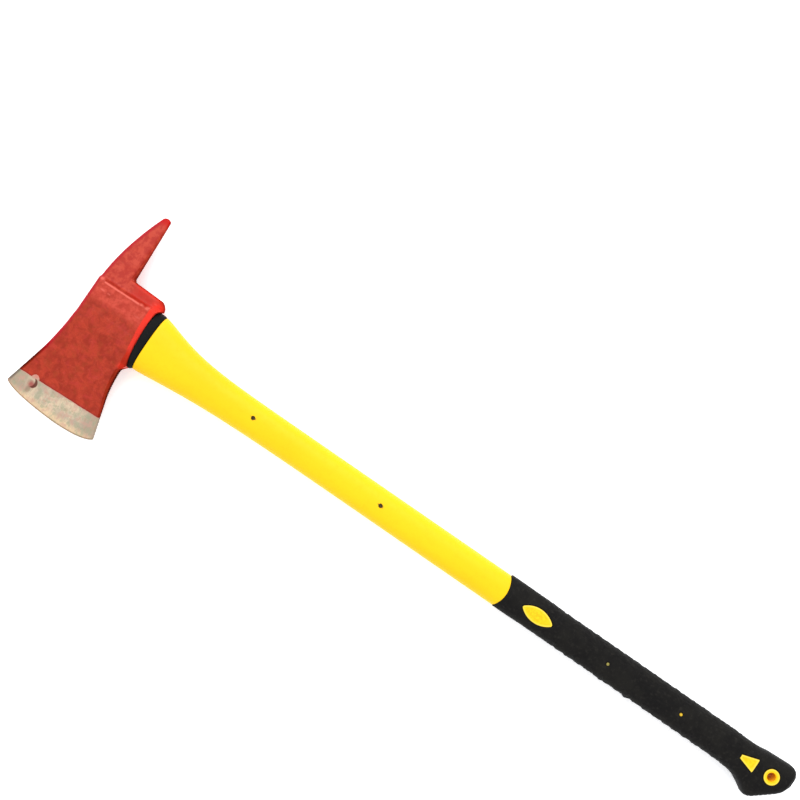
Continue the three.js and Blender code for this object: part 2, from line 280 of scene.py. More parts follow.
def distance_to(outline, points):
    """Distance from each point to a closed outline."""
    starts, ends = outline, np.roll(outline, -1, axis=0)
    along = ends - starts
    lengths = (along**2).sum(1)
    found = []
    for some in np.array_split(points, max(1, len(points) // 2000)):
        away = some[:, None] - starts
        t = np.clip((away * along).sum(2) / lengths, 0, 1)
        found.append(np.sqrt(((away - t[:, :, None] * along) ** 2).sum(2).min(1)))
    return np.concatenate(found)


def inside(outline, points):
    x, y = points.T
    within = np.zeros(len(points), bool)
    for (x0, y0), (x1, y1) in zip(outline, np.roll(outline, -1, axis=0)):
        if y0 != y1:
            crosses = ((y0 > y) != (y1 > y)) & (x < (x1 - x0) * (y - y0) / (y1 - y0) + x0)
            within ^= crosses
    return within


def plan_field(outline, depths, spacing, rows):
    """Points within an outline: rings that follow it, rows along creases, then an even field."""
    ahead, behind = np.roll(outline, -1, axis=0), np.roll(outline, 1, axis=0)
    tangent = ahead - behind
    inward = np.column_stack([-tangent[:, 1], tangent[:, 0]])
    inward /= np.linalg.norm(inward, axis=1)[:, None]
    if not inside(outline, outline[:1] + inward[:1] * 0.05)[0]:
        inward = -inward
    kept = [outline]
    for depth in depths:
        ring = (outline + inward * depth)[:: 1 if depth < 0.6 else 2]
        kept.append(ring[distance_to(outline, ring) > 0.98 * depth])
    low, high = outline.min(0), outline.max(0)
    x, y = np.meshgrid(np.arange(low[0], high[0], spacing), np.arange(low[1], high[1], spacing))
    x[1::2] += spacing / 2
    even = np.column_stack([x.ravel(), y.ravel()])
    for row in rows:
        even = even[np.abs(row(even[:, 0]) - even[:, 1]) > 0.8 * spacing]
        across = np.arange(low[0], high[0], 0.8 * spacing)
        even = np.vstack([np.column_stack([across, row(across) + s]) for s in (-0.3, 0.3)] + [even])
    even = even[inside(outline, even)]
    kept.append(even[distance_to(outline, even) > depths[-1] + 0.5 * spacing])
    return np.concatenate(kept)


def plan_solid(name, outline, half_height, depths, spacing, rows=(), wall_rows=5):
    """A solid of this outline in plan, mirrored about the centre plane.

    half_height(x, b, depth) is its half height, depth being the distance in from the outline.
    """
    field = plan_field(outline, depths, spacing, rows)
    rim = list(range(len(outline)))
    edges = list(zip(rim, rim[1:] + rim[:1]))
    made = delaunay_2d_cdt([Vector(p) for p in field], edges, [], 0, 1e-5, True)
    plan = np.array([tuple(v) for v in made[0]])
    came_from = {old: new for new, olds in enumerate(made[3]) for old in olds}
    rim = [came_from[k] for k in rim]
    triangles = np.array([tuple(f) for f in made[2]])
    triangles = triangles[inside(plan[rim], plan[triangles].mean(1))]
    height = half_height(plan[:, 0], plan[:, 1], distance_to(outline, plan))
    flat = np.column_stack([plan[:, 0], -plan[:, 1]])
    points = [np.column_stack([flat, height]), np.column_stack([flat, -height])]
    count = len(plan)
    faces = [*map(tuple, triangles), *map(tuple, triangles + count)]
    levels = [rim]
    for k in range(wall_rows):
        share = 1 - 2 * (k + 1) / (wall_rows + 1)
        levels.append([2 * count + k * len(rim) + i for i in range(len(rim))])
        points.append(np.column_stack([flat[rim], share * height[rim]]))
    levels.append([count + i for i in rim])
    for upper, lower in zip(levels, levels[1:]):
        for i in range(len(rim)):
            j = (i + 1) % len(rim)
            faces.append((upper[i], upper[j], lower[j], lower[i]))
    return mesh_object(name, np.vstack(points), faces)


def combine(target, operation, *others):
    """Cuts others out of target, or joins them to it, and removes them."""
    for other in others:
        modifier = target.modifiers.new("combine", "BOOLEAN")
        modifier.operation = operation
        modifier.solver = "MANIFOLD"
        modifier.object = other
    graph = bpy.context.evaluated_depsgraph_get()
    mesh = bpy.data.meshes.new_from_object(target.evaluated_get(graph))
    mesh.name = target.name
    target.modifiers.clear()
    target.data = mesh
    for other in others:
        bpy.data.objects.remove(other)
    return target


def turned_post(x, y, profile, sides=48):
    """An upright turned post at x, y, through (height, radius) pairs."""
    turn = np.arange(sides) * 2 * math.pi / sides
    rings = [
        np.column_stack([x + r * np.cos(turn), y + r * np.sin(turn), np.full(sides, float(z))])
        for z, r in profile
    ]
    return mesh_object("post", *skin(rings))


def bar_rings(section, places, sides=96):
    """Rings of an oval bar along X, at (x, growth) places."""
    rings = []
    for x, grow in places:
        y, z, _, _ = oval(section["half"] + grow, section["half"] + grow,
                          section["thick"] + grow, section["square"], sides)
        rings.append(np.column_stack([np.full(sides, float(x)), y - section["centre"], z]))
    return rings


# ---------------------------------------------------------------- head

def head_outline():
    flare_x, flare_b = HEEL_ROOT
    root_top, root_bottom = PICK_ROOT
    pick_side, blade_side = END_SPAN
    tip_b = LIP_TIP[1]
    corner_x, corner_b = POLL_CORNER
    tip = PICK_TIP - 2
    return trace(
        TOE,
        ((TOE[0] + 8, EDGE - 2), (8, EDGE)),
        ((HEEL[0] - 10, EDGE), HEEL),
        HEEL_BEND,
        ((flare_x + 1.2, flare_b + 18), HEEL_ROOT),
        (flare_x + 0.4, blade_side + 7),
        (flare_x + 2.4, blade_side + 4.5),
        (END_LOW + END_RISE - 0.8, blade_side + 2),
        (END_LOW + END_RISE, blade_side),
        ((END_LOW, (pick_side + blade_side) / 2), (END_LOW, pick_side)),
        (END_LOW + 0.2, tip_b + 4.3),
        (END_LOW + 1.2, tip_b + 1.5),
        LIP_TIP,
        (corner_x + 3.2, corner_b + 3.3),
        POLL_CORNER,
        (corner_x - 3, -POLL_BACK),
        (root_bottom + 1.8, -POLL_BACK - 1),
        (root_bottom - 0.2, -POLL_BACK - 3.2),
        (PICK_TIP_X + PICK_TIP_HALF, -tip),
        ((PICK_TIP_X, -tip - 4), (PICK_TIP_X - PICK_TIP_HALF, -tip)),
        ((root_top + 1.7, -POLL_BACK - 29), (root_top, -POLL_BACK + 10)),
        (EYE_TOP, LEDGE - 3),
        (EYE_TOP, 8),
        ((EYE_TOP - 2.5, 41.5), TOE_BEND),
        TOE,
    )


def paint_line(x):
    (x0, b0), (x1, b1) = PAINT_LINE
    return b0 + (b1 - b0) * (x - x0) / (x1 - x0)


def rounded_drop(depth, radius):
    """How far a rounded edge lies under the face at depth in from the outline."""
    left = np.clip(radius - depth, 0, None)
    return radius - np.sqrt(np.clip(radius**2 - left**2, 0, None))


def waves(x, b, size, seed=0.0):
    """Smooth uneven noise from -1 to 1, with bumps about size across."""
    return np.array([noise.noise(Vector((u, v, seed))) for u, v in zip(x / size, b / size)])


def ledge(x):
    return LEDGE + LEDGE_SLANT * x


def blob(x, b, centre, size):
    return np.exp(-(((x - centre[0]) / size[0]) ** 2) - ((b - centre[1]) / size[1]) ** 2)


def seam_height(x, b):
    """The raised seam along the ledge, its lumpy ends, and fainter streaks beside them."""
    wander = 0.3 * waves(x, b * 0, 9.0, 3.1)
    swell = 1 + 0.3 * waves(x, b * 0, 5.0, 8.2)
    start, end = SEAM_SPAN
    along = smoothstep(x, start - 1, start + 1) * fall(x, end - 1, end + 1)
    line = along * np.exp(-(((b - ledge(x) - wander) / (SEAM_HALF * swell)) ** 2))
    lumps = [
        ((start - 4, LEDGE - 1.1), (3.0, 2.6), 0.7), ((end + 2.5, LEDGE - 1.3), (3.2, 2.0), 0.8),
        ((end + 9.4, LEDGE - 1.7), (3.0, 3.0), 0.8), ((end + 13, LEDGE - 9.3), (2.6, 1.4), 0.5),
        ((start + 3, LEDGE + 8.5), (4.0, 1.2), 0.7), ((start + 11, LEDGE + 8.8), (3.0, 1.1), 0.7),
        ((start + 16, LEDGE + 10.5), (2.2, 1.0), 0.5), ((end + 6, LEDGE + 11.5), (4.5, 1.8), 0.5),
    ]
    return SEAM_HEIGHT * np.maximum.reduce([line] + [h * blob(x, b, c, w) for c, w, h in lumps])


def rim_share(x, b):
    """How far down the bright rim above the collar a place lies: 0 at its top, 1 at its foot."""
    width = np.interp(b, *np.array(RIM_WIDTH).T)
    there = smoothstep(b, -43, -37) * fall(b, 31, 36)
    return there * np.clip(1 - (eye_end(b) - x) / width, 0, 1)


def head_half(x, b, depth):
    half = softened(HALF_THICKNESS, b - LEDGE_SLANT * x * smoothstep(-b, 0, 25), 0.8)
    radius = np.minimum(np.interp(b, *np.array(EDGE_ROUNDING).T), 0.8 * half)
    at_rim = smoothstep(x, 28, 33) * smoothstep(x - b, 68, 73)
    at_rim = np.maximum(at_rim, smoothstep(x, 31, 34) * fall(b, 31, 34))
    radius = radius * (1 - 0.75 * at_rim)
    solid = np.minimum(half / CHEEK, 1)
    ground = smoothstep(b - paint_line(x), -0.25, 0.25)
    dents = 0.3 * waves(x, b, 19.0) + 0.14 * waves(x, b, 6.0, 1.7)
    chip = 0.4 * smoothstep(4.6 - np.hypot(x - CHIP[0], 0.75 * (b - CHIP[1] - 3)), 0, 1.5)
    return (
        half
        - rounded_drop(depth, radius)
        + (seam_height(x, b) - 0.5 * SEAM_HEIGHT) * smoothstep(depth, 0, 1.2) * (b < 0)
        - RIM_DROP * rim_share(x, b)
        - GROUND_STEP * ground * smoothstep(EDGE - b, 1, 6)
        - (0.3 + dents) * solid * (1 - ground)
        - chip * solid
    )


def make_head():
    outline = head_outline()
    depths = (0.15, 0.4, 0.8, 1.3, 1.9, 2.6, 3.4, 4.2)
    rows = (paint_line, ledge)
    head = plan_solid("axe_head_forging", outline, head_half, depths, 1.0, rows, 7)
    flare = [(6, 3.2), (0, 1.9), (-0.4, 1.2), (-1.2, 0.5), (-2.4, 0)]
    places = [(EYE_TOP - d, g) for d, g in flare]
    places += [(END_LOW + END_RISE + d, g) for d, g in reversed(flare)]
    eye = mesh_object("eye", *skin(bar_rings(EYE, places)))
    combine(head, "DIFFERENCE", eye)
    mark_paint(head, outline)
    return head


def places_of(obj):
    points = np.zeros(len(obj.data.vertices) * 3)
    obj.data.vertices.foreach_get("co", points)
    return points.reshape(-1, 3).T * 1000


def store(obj, **marks):
    """Keeps one number per point under each name, for the materials."""
    for name, values in marks.items():
        attribute = obj.data.attributes.new(name, "FLOAT", "POINT")
        attribute.data.foreach_set("value", np.clip(values, 0, 1).astype(np.float32))


def dark_places(x, b, rise, depth, lip):
    """Painted shade on the head: low on its walls, along the toe edge, in a shadow line beyond the
    ledge, and at the lip's end.
    """
    low_wall = (1 - 0.8 * smoothstep(rise, -5, 4)) * fall(depth, 0.3, 0.9)
    heel_side = 0.9 * smoothstep(x, 12, 24) * smoothstep(b, 30, 36)
    pick_side = 0.6 * smoothstep(x, -14, -11) * fall(b, -50, -45) * (b > -114)
    poll_side = 0.6 * fall(b, -46, -44) * (x > -3)
    corner_side = 0.5 * smoothstep(x - b, 69, 72) * (b < -30)
    walls = np.maximum.reduce([heel_side, pick_side, poll_side, corner_side])
    toe_side = fall(x, -33, -28) * smoothstep(b, 50, 72) * fall(b, 106, 112)
    toe_edge = 0.85 * fall(depth, 1.5, 3.6) * toe_side
    step = 0.3 * np.exp(-(((b - ledge(x) + 2.3) / 1.1) ** 2)) * (x > -24) * (x < 28)
    lip_end = 0.3 * lip * smoothstep(b, 10, 27)
    return np.maximum.reduce([low_wall * walls, toe_edge, step, lip_end])


def mark_paint(head, outline):
    """Stores where the paint is bright or carries painted highlights, where painted shade makes it
    deep red or dark, and where a painted highlight runs along the seam.
    """
    x, y, z = places_of(head)
    b = -y
    rise = z - MIDDLE
    depth = distance_to(outline, np.column_stack([x, b]))
    lip = smoothstep(rim_share(x, b), 0.02, 0.14) * (np.abs(rise) > 9)
    corner = np.maximum(blob(x, b, (34.5, -38.5), (5.5, 5)), blob(x, b, (38, 31.5), (3.5, 3.5)))
    poll_rim = 0.3 * fall(depth, 0.9, 3.2) * fall(b, -41, -38)
    poll_rim *= smoothstep(x, -2, 8)
    toe_side = fall(x, -26, -18)
    toe_side = np.maximum(toe_side, smoothstep(-b, 66, 84) * fall(x, -13, -10))
    store(
        head,
        # brighter paint on the rim above the collar, and painted highlights on the poll's corners and
        # rounded poll edge
        clean=np.maximum.reduce([lip * (1 - 0.6 * smoothstep(b, 2, 24)), corner, poll_rim]),
        # painted highlight along the raised seam and its lumps, as lighter pink paint
        rubbed=seam_height(x, b) / SEAM_HEIGHT * (depth > 0.5),
        # painted shade on the walls, the toe edge, below the ledge and at the lip's end
        dark=dark_places(x, b, rise, depth, lip),
        # painted shade: a deep red on the rounded edge towards the toe
        crimson=fall(depth, 1.8, 5.0) * toe_side * fall(b, 56, 76),
        tip=0.85 * fall(b, -117, -107),
        edge=fall(depth, 0.6, 1.9) * smoothstep(b, 109, 113),
    )


# ---------------------------------------------------------------- core, resin and collar

def make_core():
    start, end = CORE_LOW[0], CORE_HIGH[0]
    places = [(start, -1.0), (start + 0.15, -0.5), (start + 0.5, -0.12), (start + 1, 0)]
    places += [(x, 0) for x in np.linspace(start + 6, end - 6, 40)]
    places += [(end - 0.5, 0), (end, -0.6)]
    return mesh_object("core_rod", *skin(bar_rings(CORE, places, 120)))


def make_resin():
    """The poured plug round the core, dished where it set."""
    start, end = RESIN_LOW[0], RESIN_HIGH[0]
    plug_grow = -GAP
    outer = [(start, plug_grow - 0.05), (start + 1.2, plug_grow)]
    outer += [(x, plug_grow) for x in np.linspace(start + 4, end, 12)]
    plug = bar_rings(EYE, outer, 120)
    bore = bar_rings(CORE, [(x, GAP) for x in np.linspace(end, start + 0.4, 12)], 120)
    dish = []
    for share in (0.15, 0.35, 0.6, 0.85):
        ring = (1 - share) * bore[-1] + share * plug[0]
        ring[:, 0] = start + 0.2 + 0.9 * math.sin(math.pi * share)
        dish.append(ring)
    return mesh_object("eye_resin_plug", *skin([*plug, *bore, *dish], closed=True))


def make_collar():
    """A rubber ring whose front follows the eye's curved end."""
    end = COLLAR_HIGH[0]
    sides = 180
    section = grown(shoulder(JACKET_LOW[0]), COLLAR_PROUD)

    def placed(y, from_front, from_end, share):
        front = eye_end(-y) + GAP
        return (1 - share) * (front + from_front) + share * (end - from_end)

    rings = []
    edge = [(0, -2.4), (0, -1.4), (0.15, -0.8), (0.5, -0.3), (1.1, -0.05)]
    rows = [(d, 0, grow) for d, grow in edge]
    rows += [(1.1, share, 0.25 * math.sin(math.pi * share)) for share in (0.2, 0.4, 0.6, 0.8)]
    rows += [(d, 1, grow) for d, grow in reversed(edge)]
    for d, share, grow in rows:
        poll, blade, thick, square = grown(section, grow)
        blade += COLLAR_FLARE * (1 - share)
        y, z, _, _ = oval(poll, blade, thick, square, sides)
        rings.append(np.column_stack([placed(y, d, d, share), y, z]))
    for d, share, grow in ((0, 1, GAP + 0.4), (0.5, 1, GAP), (0.5, 0, GAP), (0, 0, GAP + 0.4)):
        ring = bar_rings(CORE, [(end, grow)], sides)[0]
        ring[:, 0] = placed(ring[:, 1], d, d, share)
        rings.append(ring)
    return mesh_object("collar_ring", *skin(rings, closed=True))


# ---------------------------------------------------------------- windows in the grip

def lens_gap(x, y):
    radius = (LENS["half"] ** 2 + LENS["rise"] ** 2) / (2 * LENS["rise"])
    return np.hypot(x - LENS["x"], np.abs(y) + radius - LENS["rise"]) - radius


def wedge_gap(x, y):
    length = WEDGE["base"] - WEDGE["tip"]
    slope = (WEDGE["base_half"] - WEDGE["tip_half"]) / length
    edge = WEDGE["tip_half"] + slope * (x - WEDGE["tip"])
    side = (np.abs(y) - edge) / math.hypot(1, slope)
    return np.maximum(side, np.abs(x - (WEDGE["tip"] + WEDGE["base"]) / 2) - length / 2)


def window_gap(x, y):
    """Distance in plan from the nearest window's edge, negative within it."""
    rounds = [(HANG_HOLE["x"], HANG_HOLE["ring"])] + [(pip, PIP_RADIUS) for pip in PIPS]
    gaps = [np.hypot(x - at, y - BUTT_OFFSET) - radius for at, radius in rounds]
    return np.minimum.reduce([lens_gap(x, y), wedge_gap(x, y - BUTT_OFFSET), *gaps])


def lens_outline():
    radius = (LENS["half"] ** 2 + LENS["rise"] ** 2) / (2 * LENS["rise"])
    reach = math.asin(LENS["half"] / radius)
    turn = np.linspace(-reach, reach, 40)
    x = LENS["x"] + radius * np.sin(turn)
    b = radius * np.cos(turn) - radius + LENS["rise"]
    upper = list(zip(x, b))
    lower = list(zip(x[::-1], -b[::-1]))
    return trace(upper[0], *upper[1:], *lower[1:], spacing=0.4, soft=2.0)


def wedge_outline():
    tip, base = WEDGE["tip"], WEDGE["base"]
    tip_half, base_half = WEDGE["tip_half"], WEDGE["base_half"]
    corners = [(tip, -tip_half), (base, -base_half), (base, base_half), (tip, tip_half)]
    corners = [(x, b - BUTT_OFFSET) for x, b in corners]
    return trace(*corners, corners[0], spacing=0.4, soft=1.1)


def window_outlines():
    rounds = {f"pip{k}": circle(x, -BUTT_OFFSET, PIP_RADIUS, 32) for k, x in enumerate(PIPS)}
    ring = circle(HANG_HOLE["x"], -BUTT_OFFSET, HANG_HOLE["ring"], 96)
    return {"lens": lens_outline(), "wedge": wedge_outline(), "ring": ring, **rounds}


def grip_surface(x, y):
    """Half height of the grip's outer surface at a place in plan."""
    poll, blade, thick, square = butt(x)
    across = np.abs(y - (poll - blade) / 2) / ((poll + blade) / 2)
    return thick * (1 - np.clip(across, 0, 0.999) ** square) ** (1 / square)


def pad_half(x, b, depth):
    """The pads are dished inside a rounded rim."""
    dish = 0.45 * smoothstep(depth, 0.9, 2.6)
    return grip_surface(x, -b) + PAD_PROUD - rounded_drop(depth, 0.8) - dish


def make_pads():
    depths = (0.12, 0.3, 0.55, 0.8, 1.3)
    return [
        plan_solid("pad_" + name, outline, pad_half, depths, 1.0, (), 1)
        for name, outline in window_outlines().items()
    ]


def window_posts():
    """Straight posts a little wider than the pads, to cut the grip's windows."""
    def tall(x, *_):
        return np.full(len(x), 2.0 * CHEEK)
    posts = []
    for name, outline in window_outlines().items():
        centre = outline.mean(0)
        away = outline - centre
        wider = centre + away * (1 + GAP / np.linalg.norm(away, axis=1))[:, None]
        posts.append(plan_solid("window_" + name, wider, tall, (0.8,), 3.0, (), 1))
    return posts


# ---------------------------------------------------------------- jacket

def make_jacket():
    sides = 144
    start = JACKET_LOW[0]
    corner = GRIP_LOW[0] - GAP
    edge = [(0, -1.2), (0.15, -0.65), (0.5, -0.2), (1.1, 0)]
    shaft = [(start + d, g, 0) for d, g in edge]
    shaft += [(x, 0, smoothstep(x, corner - 60, corner)) for x in np.arange(start + 2.5, corner, 2.0)]
    shaft += [(corner, 0, 1), (corner, -1, 1), (corner, -GRIP_WALL, 1)]
    rings = []
    for x, grow, bow in shaft:
        y, z, run, length = oval(*grown(shoulder(x), grow), sides)
        side = np.minimum(np.minimum(run, length - run), np.abs(run - length / 2))
        parting = 0.14 * np.exp(-((side / 0.5) ** 2)) * (grow == 0)
        scale = 1 + parting / np.hypot(y, z)
        rings.append(np.column_stack([x + bow * front_bow(y), y * scale, z * scale]))
    for x in [*np.arange(corner + 8, GRIP_HIGH[0] - 6, 2.5), GRIP_HIGH[0] - 4]:
        y, z, _, _ = oval(*grown(butt(x), -GRIP_WALL), sides)
        rings.append(np.column_stack([np.full(sides, x), y, z]))
    jacket = mesh_object("handle_moulding", *skin(rings))
    combine(jacket, "UNION", *make_pads())
    top = float(grip_surface(HANG_HOLE["x"], 0))
    bore, sink = HANG_HOLE["radius"], HANG_HOLE["radius"] + 0.8
    tall = 2 * CHEEK
    hang = [(top - 0.9, bore), (top, sink), (tall, sink)]
    pin, rim = PIN_HOLE_RADIUS, PIN_HOLE_RADIUS + 0.35
    pins = [(SHAFT_HALF_THICK - 0.5, pin), (SHAFT_HALF_THICK, rim), (tall, rim)]
    hang, pins = ([(-z, r) for z, r in reversed(half)] + half for half in (hang, pins))
    cuts = [turned_post(HANG_HOLE["x"], BUTT_OFFSET, hang)]
    cuts += [turned_post(x, PIN_HOLE_OFFSET, pins, 32) for x in PIN_HOLES]
    bore_places = [(start - 5, GAP), (CORE_HIGH[0] + GAP, GAP)]
    cuts.append(mesh_object("bore", *skin(bar_rings(CORE, bore_places))))
    combine(jacket, "DIFFERENCE", *cuts)
    mark_pads(jacket)
    return jacket


def mark_pads(jacket):
    """Stores where the pads' rims and dished middles are, a painted highlight on the rims, painted
    shade round their edges and in the pin holes, painted light in the hanging hole, and dirt on the
    pips.
    """
    x, y, z = places_of(jacket)
    gap = window_gap(x, y) + 50 * (x < LENS["x"] - LENS["half"] - 2)
    face = smoothstep(np.abs(z - MIDDLE), SHAFT_HALF_THICK - 3, SHAFT_HALF_THICK - 1)
    hole = np.hypot(x - HANG_HOLE["x"], y - BUTT_OFFSET) - HANG_HOLE["radius"]
    pips = [np.hypot(x - at, y - BUTT_OFFSET) < PIP_RADIUS + 0.5 for at in PIPS]
    pins = np.minimum.reduce([np.hypot(x - at, y - PIN_HOLE_OFFSET) for at in PIN_HOLES])
    rim = smoothstep(gap, -1.9, -0.9) * fall(gap, -0.4, -0.1) * face
    core = fall(gap, -2.8, -1.6)
    side = smoothstep(gap, -0.35, -0.1) * (gap < 1) + (1 - face) * (gap < 1)
    shown = (hole > 1) & ~pips[0] & ~pips[1]
    # painted highlight on the pads' rims, and painted shade in the groove round them
    store(jacket, pad_rim=rim * shown, pad_core=core * face * shown, pad_side=side * shown,
          # painted light on the hanging hole's wall, and painted shade in the pin holes
          hole=fall(hole, 0.1, 0.9) * (gap < 0), pin_dirt=pins < PIN_HOLE_RADIUS + 0.5,
          pip_dirt=0.85 * pips[0] + 0.35 * pips[1])


# ---------------------------------------------------------------- grip

def tread(turn):
    """A scale's height over its length: a steep front, then a slow fall."""
    return smoothstep(turn, 0, 0.16) * (1 - 0.85 * turn)


def grip_relief(x, y, run, length):
    """How far the rubber stands out of its plain section."""
    poll_side = (run < length / 4) | (run > 3 * length / 4)
    side = np.where(poll_side, np.minimum(run, length - run), np.abs(run - length / 2))
    gap = window_gap(x, y)
    field = smoothstep(x, TREADS[0], TREADS[0] + 8) * fall(x, TREADS[1] - 8, TREADS[1])
    field = field * smoothstep(gap, 2.0, 5.0)
    turn = (x / TREAD_PITCH + side / 24 + np.where(poll_side, 0.0, 0.45)) % 1
    reach = 13.5 + 2.5 * np.sin(math.pi * turn)
    scales = (tread(turn) - 0.45) * fall(side, reach - 1.5, reach)
    groove = np.exp(-(((side - reach - 0.2) / 0.6) ** 2))
    pebbles = smoothstep(x, GRIP_LOW[0] + 8, TREADS[0]) * fall(x, 792, 806)
    pebbles = pebbles * smoothstep(gap, 1.0, 3.0) * np.where(side < reach + 4, 1.0, 0.45)
    pebbles = pebbles * waves(x, side + 200 * poll_side + 0.4 * run, 3.0, 5.5)
    rib_zone = fall(side, 9, 14) * ~poll_side
    rib_zone = rib_zone * smoothstep(x, 813, 817) * fall(x, 840, 844)
    ribs = rib_zone * (np.abs(np.sin(math.pi * x / 3.6)) ** 0.7 - 0.6)
    swell = np.where(poll_side, 0.8 * fall(x, 540, 560), 0.3 * fall(x, 505, 530))
    swell = (swell + 0.3 * poll_side) * fall(side, 6, 16)
    nubs = sum(np.exp(-(((x - at) / 2.2) ** 2)) for at in NUBS)
    swell = swell + 1.2 * nubs * ~poll_side * fall(side, 2, 8)
    lip = -0.8 * fall(gap, 0.2, 1.3)
    relief = TREAD_HEIGHT * scales - 0.25 * groove
    return field * relief + 0.5 * pebbles + 0.9 * ribs + swell + lip


def grip_places():
    """Places of the outer rings, closer together beside the windows."""
    fine = [(512, 556), (784, GRIP_HIGH[0])]
    places = []
    x = GRIP_LOW[0] + 1.6
    while x < GRIP_HIGH[0] - 0.2:
        places.append(x)
        x += 0.5 if any(low <= x <= high for low, high in fine) else 0.95
    return places


def make_grip():
    sides = 176
    corner, end = GRIP_LOW[0], GRIP_HIGH[0]
    rings = []
    for x in [end - 3.6, *np.arange(end - 6, corner + 12, -4.0)]:
        y, z, _, _ = oval(*grown(butt(x), GAP - GRIP_WALL), sides)
        rings.append(np.column_stack([np.full(sides, x), y, z]))
    front = [(0, GAP - GRIP_WALL), (0, -0.9), (0.12, -0.45), (0.4, -0.12), (0.9, 0.12)]
    for d, grow in front:
        y, z, _, _ = oval(*grown(butt(corner), grow), sides)
        rings.append(np.column_stack([corner + d + front_bow(y), y, z]))
    for x in grip_places():
        y, z, run, length = oval(*butt(x), sides)
        raised = 0.2 * fall(x, corner + 12, corner + 40)
        ring_x = x + front_bow(y) * fall(x, corner, corner + 30)
        out = grip_relief(ring_x, y, run, length) + raised
        normal_y = np.gradient(z)
        normal_z = -np.gradient(y)
        scale = out / np.hypot(normal_y, normal_z)
        rings.append(np.column_stack([ring_x, y + normal_y * scale, z + normal_z * scale]))
    for x, grow in ((end - 0.1, -0.5), (end, -1.4)):
        y, z, _, _ = oval(*grown(butt(end), grow), sides)
        rings.append(np.column_stack([np.full(sides, x), y, z]))
    grip = mesh_object("grip_rubber_sleeve", *skin(rings))
    return combine(grip, "DIFFERENCE", *window_posts())


# ---------------------------------------------------------------- materials

LIGHT_LEVEL = 1.38  # what a level, perfectly white surface sends back under the studio light


def colour(red, green, blue):
    """The linear colour that shows these 0-255 display values under the studio light."""
    def linear(value):
        value = value / 255
        return value / 12.92 if value <= 0.04045 else ((value + 0.055) / 1.055) ** 2.4
    return tuple(min(1.0, linear(value) / LIGHT_LEVEL) for value in (red, green, blue)) + (1.0,)


class Look:
    """A node material, with short ways to make and join its nodes. Sizes are millimetres."""

    def __init__(self, name, **uniform):
        self.material = bpy.data.materials.new(name)
        self.material.use_nodes = True
        self.tree = self.material.node_tree
        self.tree.nodes.clear()
        self.surface = self.add("ShaderNodeBsdfPrincipled")
        output = self.add("ShaderNodeOutputMaterial")
        self.tree.links.new(self.surface.outputs[0], output.inputs["Surface"])
        self.place = self.add("ShaderNodeTexCoord").outputs["Object"]
        for socket, value in uniform.items():
            self.set(socket.replace("_", " "), value)

    def add(self, kind, **settings):
        node = self.tree.nodes.new(kind)
        for name, value in settings.items():
            setattr(node, name, value)
        return node

    def feed(self, socket, value):
        if isinstance(value, bpy.types.NodeSocket):
            self.tree.links.new(value, socket)
        else:
            socket.default_value = value

    def set(self, socket, value):
        self.feed(self.surface.inputs[socket], value)

    def math(self, operation, *values):
        node = self.add("ShaderNodeMath", operation=operation)
        for socket, value in zip(node.inputs, values):
            self.feed(socket, value)
        return node.outputs[0]

    def times(self, first, second):
        return self.math("MULTIPLY", first, second)

    def stretched(self, x=1.0, y=1.0, z=1.0, turn=0.0):
        node = self.add("ShaderNodeMapping")
        self.feed(node.inputs["Vector"], self.place)
        node.inputs["Scale"].default_value = (x, y, z)
        node.inputs["Rotation"].default_value = (0, 0, turn)
        return node.outputs[0]

    def noise(self, size, detail=3.0, rough=0.55, place=None, distortion=0.0):
        node = self.add("ShaderNodeTexNoise")
        self.feed(node.inputs["Vector"], place or self.place)
        node.inputs["Scale"].default_value = 1000 / size
        node.inputs["Detail"].default_value = detail
        node.inputs["Roughness"].default_value = rough
        node.inputs["Distortion"].default_value = distortion
        return node.outputs["Fac"]

    def step(self, value, low, high, to_low=0.0, to_high=1.0):
        node = self.add("ShaderNodeMapRange", interpolation_type="SMOOTHSTEP")
        for socket, given in zip(node.inputs, (value, low, high, to_low, to_high)):
            self.feed(socket, given)
        return node.outputs[0]

    def mix(self, share, first, second):
        node = self.add("ShaderNodeMix", data_type="RGBA")
        for index, value in ((0, share), (6, first), (7, second)):
            self.feed(node.inputs[index], value)
        return node.outputs[2]

    def tint(self, base, over, value, low, high, most=1.0):
        """The base, giving way to another colour as a value goes from low to high."""
        return self.mix(self.step(value, low, high, 0.0, most), base, colour(*over))

    def attribute(self, name):
        return self.add("ShaderNodeAttribute", attribute_name=name).outputs["Fac"]

    def axes(self):
        node = self.add("ShaderNodeSeparateXYZ")
        self.feed(node.inputs[0], self.place)
        return [self.times(output, 1000.0) for output in node.outputs]

    def spot(self, place, centre, size, ragged, unevenness):
        """Above 0 within an oval spot with an uneven edge, 1 at its centre."""
        parts = []
        for value, middle, half in zip(place, centre, size):
            part = self.math("DIVIDE", self.math("SUBTRACT", value, middle), half)
            parts.append(self.math("POWER", part, 2.0))
        away = self.math("SQRT", self.math("ADD", *parts))
        return self.math("SUBTRACT", 1.0, self.math("MULTIPLY_ADD", ragged, unevenness, away))

    def bump(self, height, depth):
        node = self.add("ShaderNodeBump")
        node.inputs["Distance"].default_value = depth / 1000
        self.feed(node.inputs["Height"], height)
        return node.outputs[0]


